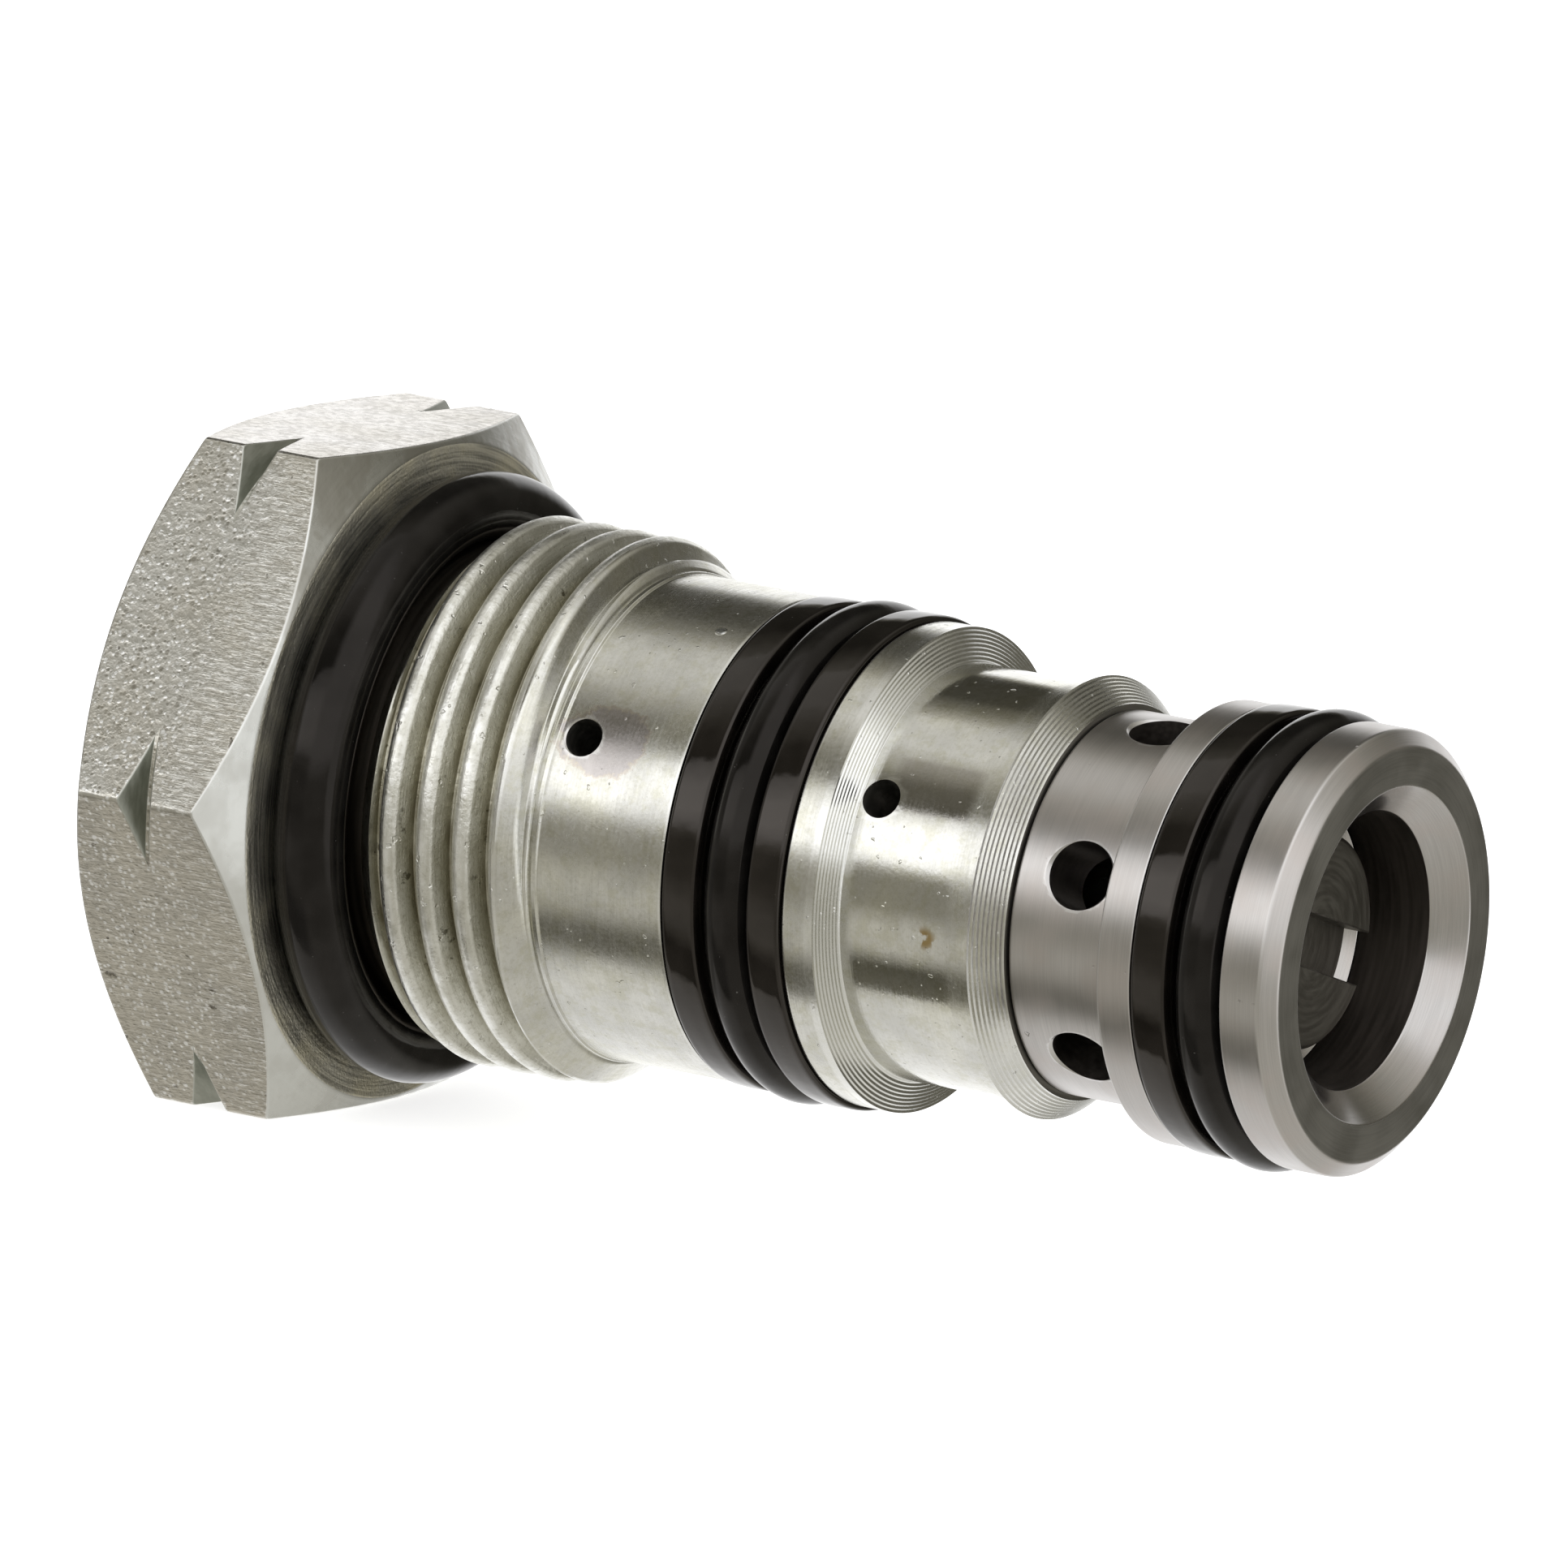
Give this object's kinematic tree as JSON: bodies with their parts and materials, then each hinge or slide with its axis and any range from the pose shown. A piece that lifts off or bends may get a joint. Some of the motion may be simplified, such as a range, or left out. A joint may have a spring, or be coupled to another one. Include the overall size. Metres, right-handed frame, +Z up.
{
  "type": "hydraulic cartridge valve",
  "caption": "Screw-in cartridge valve with a hex head, port thread, sealed stepped body, cross-drilled cage and a slotted spring-loaded poppet inside the open nose.",
  "frame": {"origin": "centre of the hex head's outer end face, on the valve's axis", "axes": "+X along the valve's axis from the head to the nose, +Z up through the middle of a hex flat, a hex corner towards -Y"},
  "size_m": [0.0468, 0.0278, 0.024],
  "materials": {
    "zinc_plated_steel": "bright zinc plate over turned steel",
    "ground_steel": "ground, unplated",
    "hardened_steel": "hardened and ground",
    "spring_steel": "drawn spring wire or sheet",
    "bronze": "turned bronze",
    "seal_rubber": "smooth moulded rubber, oiled",
    "backup_plastic": "smooth black backup ring"
  },
  "bodies": {
    "cartridge": {"valve_body": "zinc_plated_steel", "valve_cage": "ground_steel", "head_o_ring": "seal_rubber", "mid_backup_ring_head_side": "backup_plastic", "mid_o_ring": "seal_rubber", "mid_backup_ring_nose_side": "backup_plastic", "nose_backup_ring": "backup_plastic", "nose_o_ring": "seal_rubber", "cage_o_ring": "seal_rubber", "spring_seat_washer": "hardened_steel", "guide_bush": "bronze", "bush_retaining_ring": "spring_steel", "seat_ring": "hardened_steel", "pilot_return_spring": "spring_steel"},
    "pilot_piston": {"pilot_piston": "hardened_steel", "piston_plug": "hardened_steel", "pilot_piston_o_ring": "seal_rubber", "pilot_piston_backup_ring": "backup_plastic", "check_spring": "spring_steel"},
    "check_poppet": {"check_poppet": "hardened_steel", "poppet_stem": "hardened_steel", "stem_collar": "hardened_steel"}
  },
  "joints": [
    {"name": "pilot_piston_slide", "type": "slide", "parent": "cartridge", "child": "pilot_piston", "axis": [1, 0, 0], "range_m": [0, 0.0012], "stiffness_N_per_m": 1500, "deforming": ["pilot_return_spring"]},
    {"name": "check_poppet_slide", "type": "slide", "parent": "pilot_piston", "child": "check_poppet", "axis": [1, 0, 0], "range_m": [0, 0.0012], "stiffness_N_per_m": 600, "deforming": ["check_spring"]}
  ]
}
